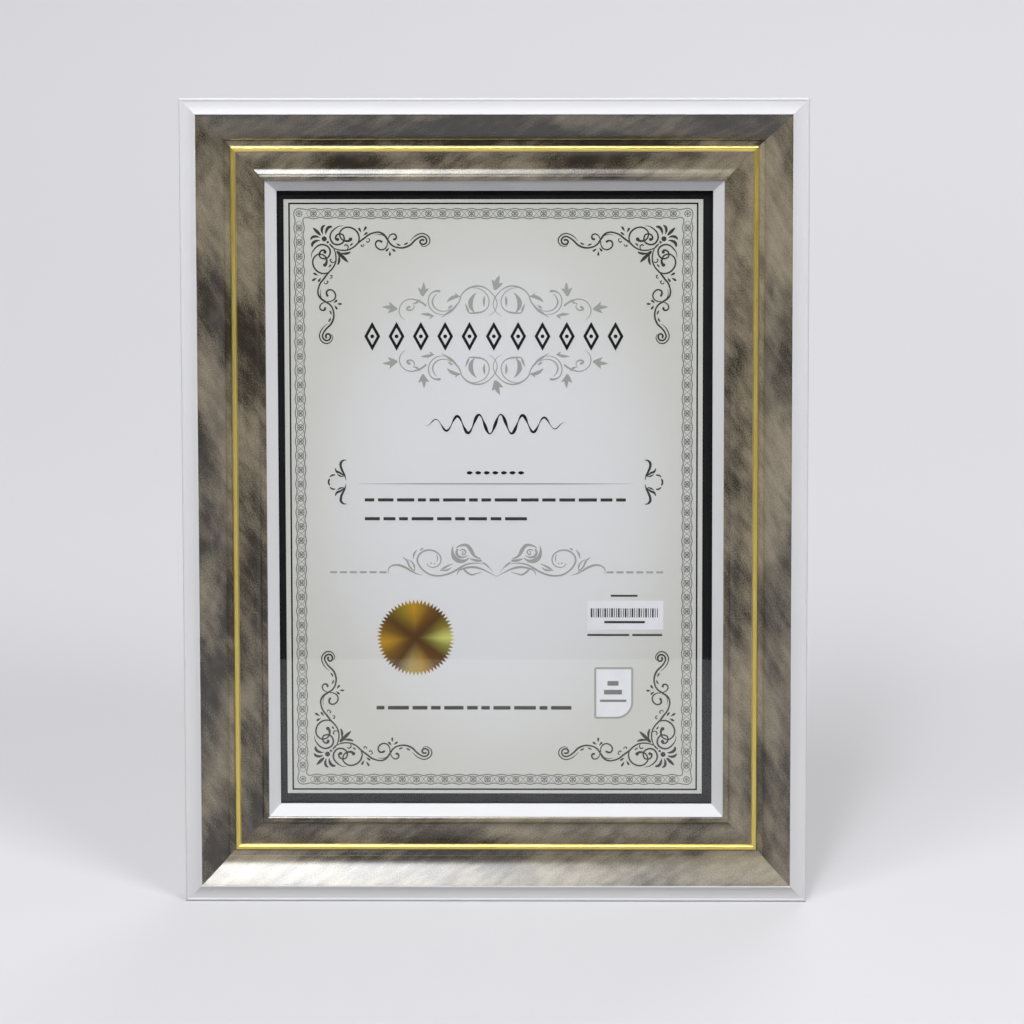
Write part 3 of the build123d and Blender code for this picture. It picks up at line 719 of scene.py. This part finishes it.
# vine above the row of lozenges, right half, mirrored to the left and again below
vine = {
    "foldZ": 76.7,
    "strokes": [
        # stem that crosses the middle and rounds the heart
        ((0.2, 0.4, 0.5, 0.5, 0.75, 0.8, 0.55, 0.7, 1.3, 0.2),
         [(3.0, 85.9), (1.1, 87.0), (-0.3, 88.9), (-0.9, 91.4), (-0.3, 93.8), (1.3, 96.1), (3.8, 98.4),
          (7.3, 99.7), (10.7, 99.3), (13.8, 97.6), (15.6, 95.5), (16.5, 92.8), (18.1, 90.5), (20.0, 88.5),
          (22.7, 86.6), (25.0, 85.1)]),
        ((0.2, 0.45, 0.5, 0.5, 0.55, 0.9, 0.6),
         [(11.1, 98.9), (7.6, 98.5), (4.9, 97.0), (3.2, 94.5), (2.8, 91.8), (3.6, 89.5), (5.7, 87.8),
          (8.4, 87.2), (12.1, 87.1)]),
        # leaves inside the heart
        ((0.4, 1.7, 2.3, 1.4, 0.2), [(9.6, 87.5), (11.2, 90.0), (11.3, 92.6), (10.2, 94.9), (8.7, 96.6)]),
        ((0.4, 1.1, 0.8, 0.2), [(12.2, 87.1), (13.1, 89.7), (13.9, 91.5)]),
        ((0.3, 1.1, 1.0, 0.2), [(4.9, 95.0), (5.2, 92.6), (5.0, 90.1)]),
        # side scroll and its inner line
        ((0.2, 0.5, 0.55, 0.55, 0.6, 1.1),
         [(23.5, 86.6), (26.2, 86.6), (28.9, 88.0), (30.6, 90.5), (31.0, 93.2), (30.0, 95.9),
          (28.1, 97.2), (25.8, 97.3)]),
        ((0.3, 0.45, 0.65, 0.8, 0.3),
         [(20.6, 89.1), (23.1, 88.0), (25.8, 88.2), (28.1, 89.7), (29.1, 92.0), (28.5, 94.3),
          (27.1, 95.9)]),
        # outer tendril
        ((0.9, 0.9, 0.6, 0.5, 0.55, 0.5, 0.2),
         [(32.0, 90.4), (35.6, 92.8), (39.5, 93.6), (42.9, 92.0), (44.5, 88.6), (43.7, 85.5),
          (41.8, 83.9)]),
        ((0.3, 0.6, 0.8, 0.9), [(38.0, 91.3), (37.6, 89.7), (39.1, 88.4), (40.9, 88.9), (40.3, 90.0)]),
        ((0.3, 1.0, 0.3), [(38.2, 91.6), (36.4, 92.0), (35.0, 93.6)]),
    ],
    "leaves": [((16.3, 94.9), (22.3, 92.3), 1.7, 0.12), ((17.0, 94.6), (18.6, 96.4), 0.8, 0.0),
               ((19.8, 90.7), (21.9, 89.2), 1.0, 0.0), ((28.4, 85.6), (34.6, 86.6), 1.3, 0.05),
               ((29.0, 85.4), (31.4, 87.5), 0.8, -0.1), ((28.8, 85.8), (30.6, 84.4), 0.7, 0.0)],
    "dots": [(25.9, 97.3, 0.6), (39.9, 89.9, 0.6)],
    "ivies": [((33.7, 95.0), (33.2, 101.4), 1.8), ((45.5, 88.9), (52.3, 89.9), 1.8)],
    "crown": ((0.0, 97.9), (2.1, 104.5), 2.2),
}
vineHalf = scrollShapes(vine)
vineUpper = vineHalf + mirror(vineHalf, -1.0) + ivy(*vine["crown"])
printPiece("print_vine_scrolls", vineUpper + mirror(vineUpper, 1.0, -1.0, vine["foldZ"]), paleInk)

# divider under the lines: right half, mirrored
divider = {
    "middle": 0.4,
    "strokes": [
        # long leaf from the middle, and its lower edge
        ((0.4, 0.75, 1.0, 1.1, 0.8, 0.5, 0.2),
         [(18.3, -36.0), (17.8, -34.5), (14.5, -32.9), (10.5, -32.5), (6.9, -33.4), (3.4, -35.1),
          (0.0, -36.9)]),
        ((0.9, 1.0, 0.8, 0.5, 0.2),
         [(15.2, -33.4), (13.5, -35.2), (11.5, -36.1), (9.5, -35.6), (6.7, -34.8)]),
        # stem into the spiral
        ((0.15, 0.6, 0.9, 0.9, 0.8, 0.8, 0.85, 0.8, 0.7, 0.6, 0.35),
         [(4.9, -31.4), (10.5, -30.6), (14.0, -31.2), (17.1, -32.8), (20.1, -34.6), (23.2, -35.9),
          (27.2, -36.6), (30.8, -36.1), (33.8, -34.3), (36.1, -31.7), (37.0, -29.2), (36.3, -26.9),
          (34.3, -25.1), (31.3, -24.4), (28.2, -25.3), (26.2, -27.4), (26.0, -29.7), (27.2, -31.7),
          (29.8, -32.6), (32.0, -31.7), (32.5, -30.6)]),
        ((0.2, 0.6, 0.2), [(28.2, -26.4), (27.5, -28.4), (28.0, -30.0)]),
        # leaf on the stem
        ((0.3, 1.1, 0.8, 0.3), [(26.5, -34.3), (24.2, -32.7), (22.2, -31.6), (20.5, -31.0)]),
        ((0.4, 1.0, 0.3), [(25.5, -34.1), (22.7, -33.7), (21.2, -32.6)]),
        # rolled rose: two outer petals, an inner petal, the heart and the stalk
        ((0.2, 1.1, 2.0, 2.2, 1.4, 0.3),
         [(20.1, -22.2), (20.6, -25.3), (19.6, -28.1), (17.1, -29.6), (14.5, -29.3), (12.8, -27.9)]),
        ((0.4, 1.0, 1.6, 1.8, 1.2, 0.5),
         [(18.9, -23.5), (16.6, -22.2), (13.8, -22.2), (12.0, -24.3), (10.5, -26.9), (7.4, -28.4)]),
        ((0.8, 1.2, 1.2, 0.8, 0.3),
         [(18.0, -23.9), (18.7, -25.6), (17.8, -27.3), (15.6, -27.8), (13.5, -26.9)]),
        ((0.4, 0.7, 0.7, 0.6, 0.9),
         [(17.1, -24.8), (15.6, -24.1), (14.4, -25.1), (14.8, -26.3), (16.2, -26.2)]),
        ((0.4, 1.3, 1.0), [(12.5, -28.4), (10.0, -29.2), (6.9, -29.4)]),
        ((0.4, 0.9, 0.3, 0.15), [(6.6, -30.0), (4.2, -32.0), (1.4, -35.1)]),
        # outer wave and the small plant behind it
        ((0.2, 0.6, 0.9, 1.1, 0.9, 0.6, 0.2),
         [(50.3, -35.6), (50.6, -33.6), (49.0, -31.9), (46.2, -31.5), (42.9, -32.5), (39.9, -34.3),
          (37.4, -35.6), (34.8, -36.2)]),
        ((0.3, 0.8, 0.9, 0.4), [(37.9, -34.6), (40.7, -32.0), (41.7, -29.7), (43.7, -27.9)]),
        ((0.3, 0.9, 0.6, 0.2), [(38.4, -34.1), (38.6, -31.5), (40.4, -29.4), (41.7, -28.9)]),
        ((0.4, 1.0, 0.3), [(38.9, -28.4), (38.4, -26.1), (37.1, -24.3)]),
        ((0.3, 0.9, 0.3), [(35.8, -24.5), (35.0, -24.0), (34.1, -23.5)]),
    ],
    "dots": [(15.8, -25.3, 0.4), (30.5, -30.6, 0.4), (29.0, -30.8, 0.35)],
    "dash": {"start": 51.4, "pitch": 4.62, "length": 3.3, "z": -34.9, "line": 0.95, "count": 6},
}
dividerHalf = scrollShapes(divider)
dash = divider["dash"]
for index in range(dash["count"]):
    dashX = dash["start"] + index * dash["pitch"]
    dividerHalf.append(flatBar(dashX, dashX + dash["length"], dash["z"], dash["line"]))
dividerShapes = dividerHalf + mirror(dividerHalf, -1.0)
moved = [(points + (divider["middle"], 0.0), quads) for points, quads in dividerShapes]
printPiece("print_divider", moved, paleInk)

# ornament beside the lines: upper half, mirrored down and across
sideScroll = {
    "foldZ": 7.7,
    "strokes": [
        ((0.3, 1.2, 1.1, 0.9, 0.2),
         [(-69.5, 18.0), (-71.1, 17.8), (-72.1, 16.6), (-72.0, 14.7), (-71.1, 12.5), (-70.2, 10.6),
          (-69.7, 8.6)]),
        ((0.4, 1.1, 0.9, 0.3), [(-74.6, 14.2), (-74.1, 12.8), (-72.4, 12.0), (-70.6, 10.4)]),
        ((0.2, 0.8, 0.3), [(-73.9, 11.6), (-72.6, 10.7), (-70.9, 10.2)]),
        ((0.4, 0.8, 0.6), [(-77.2, 10.0), (-76.4, 10.8), (-74.8, 11.0)]),
        ((0.5, 0.85, 0.8), [(-77.2, 9.2), (-77.7, 8.5), (-77.8, 7.7)]),
    ],
}
sideUpper = scrollShapes(sideScroll)
sideWhole = sideUpper + mirror(sideUpper, 1.0, -1.0, sideScroll["foldZ"])
printPiece("print_side_scrolls", sideWhole + mirror(sideWhole, -1.0), darkInk)

# plain marks down the sheet: lozenges, a wave, bars and rules
heading = {"count": 11, "pitch": 11.3, "middle": (-0.6, 76.2), "size": (7.4, 13.6), "line": 1.5, "dot": 0.9}
diamond = np.array([(0, 1), (-1, 0), (0, -1), (1, 0), (0, 1)]) * 0.5 * np.array(heading["size"])
diamondInner = diamond * (1.0 - 2.0 * heading["line"] / heading["size"][0])
marks = []
for index in range(heading["count"]):
    markX = heading["middle"][0] + (index - 0.5 * (heading["count"] - 1)) * heading["pitch"]
    markSpot = (markX, heading["middle"][1])
    marks.extend([strip(diamondInner + markSpot, diamond + markSpot), dot(*markSpot, heading["dot"])])
printPiece("print_heading_marks", marks, blackInk)

# the wave is height sin(turns pi t) under an arch sqrt(cos(pi t / 2)), and its line swells where it is steep
wave = {
    "reach": 33.0,
    "middle": 35.0,
    "height": 4.6,
    "turns": 6.5,
    "steps": 161,
    "penSteps": 240,
    "seeds": {"count": 7, "pitch": 4.0, "half": 1.4, "z": 12.1, "width": 1.6},
}
waveShare = np.linspace(-1.0, 1.0, wave["steps"])
waveTurn = waveShare * wave["turns"] * math.pi
bend = wave["height"] * np.sin(waveTurn) * np.cos(0.5 * math.pi * waveShare) ** 0.5
waveLine = np.stack([waveShare * wave["reach"], wave["middle"] + bend], 1)
waveWidths = 0.5 + 0.9 * np.cos(waveTurn) ** 2
subMarks = [stroke(waveLine, waveWidths * (1.05 - waveShare ** 4), wave["penSteps"])]
seeds = wave["seeds"]
for index in range(seeds["count"]):
    seedX = (index - seeds["count"] // 2) * seeds["pitch"]
    seedEnds = ((seedX - seeds["half"], seeds["z"]), (seedX + seeds["half"], seeds["z"]))
    subMarks.append(leaf(*seedEnds, seeds["width"]))
printPiece("print_pen_wave", subMarks, blackInk)

# rows of bars: height on the sheet, start, end and thickness of each row
lines = {
    "rows": ((-0.7, -61.0, 61.5, 1.5), (-9.6, -61.0, 21.0, 1.5), (-99.3, -56.0, 37.0, 1.7)),
    "bar": (3.5, 11.0),
    "most": 30,
    "gap": 1.7,
    "seed": 11,
}
bars = []
rng = np.random.default_rng(lines["seed"])
for lineZ, lineStart, lineEnd, lineHeight in lines["rows"]:
    lengths = rng.uniform(*lines["bar"], lines["most"])
    starts = lineStart + np.concatenate([[0.0], np.cumsum(lengths + lines["gap"])[:-1]])
    for start, length in zip(starts, lengths):
        if start + length < lineEnd:
            bars.append(flatBar(start, start + length, lineZ, lineHeight))
printPiece("print_line_bars", bars, darkInk)
rule = {"reach": 64.0, "z": 6.9, "widths": (0.1, 0.6, 0.7, 0.6, 0.1), "steps": 40}
ruleKnots = [(-rule["reach"], rule["z"]), (0.0, rule["z"]), (rule["reach"], rule["z"])]
printPiece("print_fading_rule", [stroke(ruleKnots, rule["widths"], rule["steps"])], paleInk)

# white label with a row of stripes that repeats every three, and a plain bar under and around it
label = {
    "middle": (60.55, -55.15),
    "size": (35.5, 13.7),
    "stripes": {"first": 44.8, "pitch": 1.06, "count": 30, "z": -54.1, "height": 4.3},
    "widths": (0.8, 0.38, 0.38),
    "bars": [(60.2, -58.5, 19.0, 1.1), (60.0, -46.0, 12.5, 0.9),
             (52.6, -64.6, 19.6, 0.9), (70.8, -64.6, 14.0, 0.9)],
    "lift": 0.01,
}
printPiece("print_label", [bar(*label["middle"], *label["size"])], whiteInk)
stripes = label["stripes"]
labelMarks = [bar(*row) for row in label["bars"]]
for index in range(stripes["count"]):
    stripeX = stripes["first"] + index * stripes["pitch"]
    stripeWidth = label["widths"][index % len(label["widths"])]
    labelMarks.append(bar(stripeX, stripes["z"], stripeWidth, stripes["height"]))
printPiece("print_label_stripes", labelMarks, darkInk, label["lift"])

# page tag: its right side steps in by round (1 - sqrt(1 - s s)) over the last part of the way down
tag = {
    "left": 46.5,
    "right": 63.8,
    "low": -104.0,
    "high": -80.4,
    "round": 7.5,
    "line": 1.0,
    "steps": 25,
    "bars": [(54.8, -87.6, 5.2, 2.2), (54.8, -91.8, 8.4, 2.2), (54.9, -95.9, 12.4, 1.1)],
    "lift": 0.01,
}
tagZ = tag["high"] + (tag["low"] - tag["high"]) * np.linspace(0.0, 1.0, tag["steps"])
fall = np.clip((tag["low"] + tag["round"] - tagZ) / tag["round"], 0.0, 1.0)
tagRight = np.stack([tag["right"] - tag["round"] * (1.0 - np.sqrt(1.0 - fall ** 2)), tagZ], 1)
tagLeft = np.stack([np.full(tag["steps"], tag["left"]), tagZ], 1)
printPiece("print_page_tag", [strip(tagRight, tagLeft)], whiteInk)
tagLine = (tag["line"], tag["line"])
tagOutline = [stroke([(tag["left"], tag["low"]), (tag["left"], tag["high"])], tagLine, 2),
              flatBar(tag["left"], tag["right"], tag["high"], tag["line"]),
              flatBar(tag["left"], tag["right"] - tag["round"], tag["low"], tag["line"]),
              stroke(tagRight, tagLine, 2 * tag["steps"])]
printPiece("print_tag_outline", tagOutline, paleInk, tag["lift"])
printPiece("print_tag_bars", [bar(*row) for row in tag["bars"]], midInk, tag["lift"])
print("sheet printed")

# toothed seal: rings of points round its middle, the last one a zigzag between radius and radius - depth
seal = {"middle": (-37.5, -66.0), "radius": 18.2, "teeth": 60, "depth": 2.2, "perTooth": 4, "rings": 9}


def sealFoil():
    finish, root, shader = newFinish("seal_foil")
    uv = root.ownMap()
    around, outwards = uv.axes()[:2]
    brown = colour(0.075, 0.027, 0.003)
    amber = colour(0.54, 0.3, 0.016)
    lime = colour(0.68, 0.69, 0.19)
    stops = [(0.0, lime), (0.06, colour(0.24, 0.2, 0.03)), (0.12, brown), (0.18, colour(0.17, 0.08, 0.006)),
             (0.26, amber), (0.32, colour(0.27, 0.2, 0.01)), (0.4, brown), (0.46, colour(0.2, 0.1, 0.008)),
             (0.52, amber), (0.58, colour(0.22, 0.12, 0.012)), (0.65, brown),
             (0.72, colour(0.44, 0.35, 0.12)), (0.78, colour(0.52, 0.32, 0.06)),
             (0.85, colour(0.14, 0.06, 0.008)), (0.9, brown), (0.96, colour(0.3, 0.28, 0.06)), (1.0, lime)]
    spokes = around.node("ShaderNodeValToRGB", {"stops": stops}, {0: around})
    grain = uv.stretch(60.0, 3.0, 1.0).noise(3.0, 3.0, 0.7)
    tinted = (grain * 0.25).blend(spokes, colour(0.16, 0.08, 0.01))
    root.feed(shader, {
        "Base Color": outwards.ease(0.0, 0.8).blend(colour(0.08, 0.03, 0.004), tinted),
        "Roughness": 0.3 + grain * 0.15,
        "Metallic": 0.1,
    })
    return finish


sealTurn = np.linspace(0.0, 2 * math.pi, seal["teeth"] * seal["perTooth"] + 1)
tooth = np.abs(((sealTurn * seal["teeth"] / (2 * math.pi)) % 1.0) - 0.5) * 2.0
ringShare = np.linspace(0.001, 1.0, seal["rings"])
roundRadius = np.repeat(ringShare[:, None] * (seal["radius"] - seal["depth"]), len(sealTurn), axis=1)
sealRadius = np.vstack([roundRadius, seal["radius"] - seal["depth"] * tooth])
sealX = seal["middle"][0] + sealRadius * np.cos(sealTurn)
sealZ = seal["middle"][1] + sealRadius * np.sin(sealTurn)
sealUv = np.stack(np.broadcast_arrays(sealTurn / (2 * math.pi), sealRadius / seal["radius"]), -1)
sealPoints = np.stack([sealX, sealZ], -1)
sealShapes = [strip(inside, outside) for inside, outside in zip(sealPoints[:-1], sealPoints[1:])]
sealCorners = np.concatenate([np.concatenate(pair) for pair in zip(sealUv[:-1], sealUv[1:])])
printPiece("print_seal", sealShapes, sealFoil(), 0.0, sealCorners)
print("seal printed")


# finishes of the pieces kept from the solids
paper = {
    "middle": colour(0.735, 0.73, 0.775),
    "edge": colour(0.585, 0.58, 0.55),
    "spread": (0.0092, 0.018),  # squares of the half axes of the pale middle, in square metres
    "fibre": 1800.0,
}


def paperFinish():
    finish, root, shader = newFinish("printed_paper")
    where = root.ownPlace()
    middle = tuple(place(0.0, 0.0, 0.0))
    centred = where.node("ShaderNodeVectorMath", {"operation": "SUBTRACT"}, {0: where, 1: middle})
    x, y, z = centred.axes()
    # the sheet is paler and bluer in the middle, darker and yellowish grey towards its edges
    away = ((x * x) / paper["spread"][0] + (z * z) / paper["spread"][1]).ease(0.1, 1.1)
    fibre = where.noise(paper["fibre"], 3.0, 0.7)
    root.feed(shader, {
        "Base Color": (away * 0.85 + fibre * 0.15).blend(paper["middle"], paper["edge"]),
        "Roughness": 0.62 + fibre * 0.15,
        "Normal": fibre.bump(0.000004),
    })
    return finish


glass = {"tint": colour(0.988, 0.992, 0.988), "least": 0.025, "film": 0.01, "edge": 0.9, "filmScale": 22.0}


def glassFinish():
    finish, root, shader = newFinish("clear_glass")
    facing = root.node("ShaderNodeLayerWeight", None, {"Blend": 0.5}, "Facing")
    film = root.ownPlace().noise(glass["filmScale"], 4.0, 0.6)
    clear = root.node("ShaderNodeBsdfTransparent", None, {"Color": glass["tint"]})
    gloss = root.node("ShaderNodeBsdfGlossy", None, {"Color": colour(1.0, 1.0, 1.0), "Roughness": 0.01})
    factor = (facing ** 5.0) * glass["edge"] + glass["least"] + film * glass["film"]
    mixed = root.node("ShaderNodeMixShader", None, {0: factor, 1: clear, 2: gloss})
    showMixed(finish, mixed)
    finish.node_tree.nodes.remove(shader)
    return finish


board = {"cloud": 26.0, "relief": 0.00006}


def boardFinish(name, low, high, scale):
    finish, root, shader = newFinish(name)
    where = root.ownPlace()
    fibre = where.noise(scale, 5.0, 0.7).ease(0.3, 0.7)
    fleck = where.noise(0.3 * scale, 2.0, 0.5).ease(0.58, 0.66)
    cloud = where.noise(board["cloud"], 3.0).ease(0.3, 0.7)
    root.feed(shader, {
        "Base Color": (0.1 + fibre * 0.5 + cloud * 0.35 - fleck * 0.3).blend(low, high),
        "Roughness": 0.62 + fibre * 0.2,
        "Normal": fibre.bump(board["relief"]),
    })
    return finish


metal = {"spangle": 420.0, "brush": 3200.0, "relief": 0.000008}


def metalFinish(name, low, high, rough):
    finish, root, shader = newFinish(name)
    where = root.ownPlace()
    spangle = where.cells(metal["spangle"])
    brushed = where.stretch(1.0, 0.15, 0.15).noise(metal["brush"], 3.0, 0.6)
    root.feed(shader, {
        "Base Color": (spangle * 0.5 + brushed * 0.5).blend(low, high),
        "Roughness": rough + brushed * 0.14 + spangle * 0.06,
        "Metallic": 1.0,
        "Normal": brushed.bump(metal["relief"]),
    })
    return finish


zinc = metalFinish("zinc_plate", colour(0.48, 0.49, 0.51), colour(0.68, 0.69, 0.71), 0.26)
nickel = metalFinish("nickel_plate", colour(0.58, 0.56, 0.52), colour(0.78, 0.76, 0.72), 0.16)
darkSteel = metalFinish("strip_steel", colour(0.26, 0.26, 0.27), colour(0.42, 0.42, 0.43), 0.34)
hardboard = boardFinish("hardboard", colour(0.15, 0.088, 0.045), colour(0.34, 0.22, 0.125), 900.0)
strutBoard = boardFinish("strut_board", colour(0.13, 0.075, 0.04), colour(0.29, 0.185, 0.105), 1100.0)
dressing = {
    "glass_pane": glassFinish(),
    "certificate_sheet": paperFinish(),
    "back_board": hardboard,
    "easel_strut": strutBoard,
    "corner_nails": darkSteel,
    "turn_button_screws": nickel,
    "hinge_board_rivets": nickel,
    "hinge_strut_rivets": nickel,
    "hanger_rivets": nickel,
    "hinge_pin": darkSteel,
    "hanger_ring_portrait": nickel,
    "hanger_ring_landscape": nickel,
}
for nodeName, node in frame["nodes"].items():
    if nodeName not in railNames:
        node.data.materials.clear()
        node.data.materials.append(dressing.get(nodeName, zinc))
print("solids dressed")

# floor: paler where it is seen or mirrored than in the light it throws back on the frame
floor = {
    "front": -2.68,
    "back": 8.0,
    "side": 7.0,
    "tint": colour(0.2, 0.2, 0.208),
    "shade": colour(0.18, 0.18, 0.188),
    "seen": colour(0.61, 0.607, 0.637),
    "white": colour(0.94, 0.94, 0.97),
    "lift": 0.2,
    "grid": 9,
}


def floorFinish():
    finish, root, shader = newFinish("pale_floor")
    where = root.ownPlace()
    mottle = where.noise(7.0, 4.0) * 0.7 + where.noise(300.0, 2.0) * 0.3
    seen = root.rays("Camera", "Glossy", "Transmission")
    tint = seen.blend(mottle.blend(floor["shade"], floor["tint"]), floor["seen"])
    root.feed(shader, {"Base Color": tint, "Roughness": 0.6 + mottle * 0.2})
    white = root.node("ShaderNodeEmission", None, {"Color": floor["white"], "Strength": 1.0})
    lit = Pin(root.tree, shader.outputs[0])
    mixed = root.node("ShaderNodeMixShader", None, {0: seen * floor["lift"], 1: lit, 2: white})
    showMixed(finish, mixed)
    return finish


floorX = np.linspace(-floor["side"], floor["side"], floor["grid"])
floorY = np.linspace(floor["front"], floor["back"], floor["grid"])
gridX, gridY = np.meshgrid(floorX, floorY)
floorPoints = np.stack([gridX, gridY, np.zeros_like(gridX)], -1).reshape(-1, 3)
near = np.arange(floor["grid"] ** 2).reshape(gridX.shape)[:-1, :-1]
far = near + floor["grid"]
floorFaces = np.stack([near, near + 1, far + 1, far], -1).reshape(-1, 4)
makePiece("floor", floorPoints, floorFaces.tolist(), [floorFinish()])

# low room light, brighter overhead and behind, with softboxes for the frame and for the floor behind it
light = {
    "front": 0.03,
    "dome": 0.04,
    "rear": 0.34,
    "seen": 0.7,
    "boxes": [
        ("glare_softbox", (-0.21, -1.3, 1.95), (-0.21, -0.7, 0.0), (0.3, 1.6), 28.0, 180.0),
        ("right_softbox", (2.2, -2.2, 2.8), (0.0, 0.0, 0.19), (1.5, 1.2), 82.0, 180.0),
        ("left_softbox", (-2.2, -2.2, 2.8), (0.0, 0.0, 0.19), (1.5, 1.2), 58.0, 180.0),
        ("floor_softbox", (0.0, 2.5, 2.6), (0.0, 2.51, 0.0), (2.4, 2.0), 8.0, 80.0),
        ("rear_softbox", (0.7, 2.0, 1.7), (0.0, 0.1, 0.2), (1.2, 1.0), 16.0, 180.0),
    ],
}
world = bpy.data.worlds.new("studio")
world.use_nodes = True
scene.world = world
sky = Pin(world.node_tree)
skyY, skyZ = sky.node("ShaderNodeTexCoord", None, None, "Generated").axes()[1:]
room = light["front"] + skyZ.ease(0.66, 0.88) * light["dome"] + skyY.ease(-0.1, 0.5) * light["rear"]
strength = room + sky.rays("Camera", "Transmission") * light["seen"]
sky.feed(world.node_tree.nodes["Background"], {"Color": colour(0.99, 0.99, 1.0), "Strength": strength})


def lookAlong(way):  # columns right, up and back of a lamp that looks along way
    back = -way / np.linalg.norm(way)
    right = np.cross((0.0, 0.0, 1.0), back)
    right = right / np.linalg.norm(right)
    return np.stack([right, np.cross(back, right), back], axis=1).tolist()


for boxName, spot, aim, size, power, spread in light["boxes"]:
    lamp = bpy.data.lights.new(boxName, "AREA")
    lamp.shape = "RECTANGLE"
    lamp.size, lamp.size_y = size
    lamp.energy = power
    lamp.spread = math.radians(spread)
    holder = newObject(boxName, lamp)
    facing = Matrix(lookAlong(np.array(aim) - np.array(spot))).to_4x4()
    holder.matrix_world = Matrix.Translation(spot) @ facing

# camera
view = {"place": (0.0532, -2.8668, 1.0657), "pitch": -17.023, "yaw": -0.9, "roll": -0.236, "lens": 228.5}
camera = bpy.data.cameras.new("camera")
camera.lens = view["lens"]
camera.clip_end = 50.0
cameraHolder = newObject("camera", camera)
yawTurn = Matrix.Rotation(math.radians(-view["yaw"]), 4, "Z")
pitchTurn = Matrix.Rotation(math.radians(90.0 + view["pitch"]), 4, "X")
rollTurn = Matrix.Rotation(math.radians(view["roll"]), 4, "Z")
cameraHolder.matrix_world = Matrix.Translation(view["place"]) @ yawTurn @ pitchTurn @ rollTurn
scene.camera = cameraHolder
scene.view_settings.view_transform = "Standard"
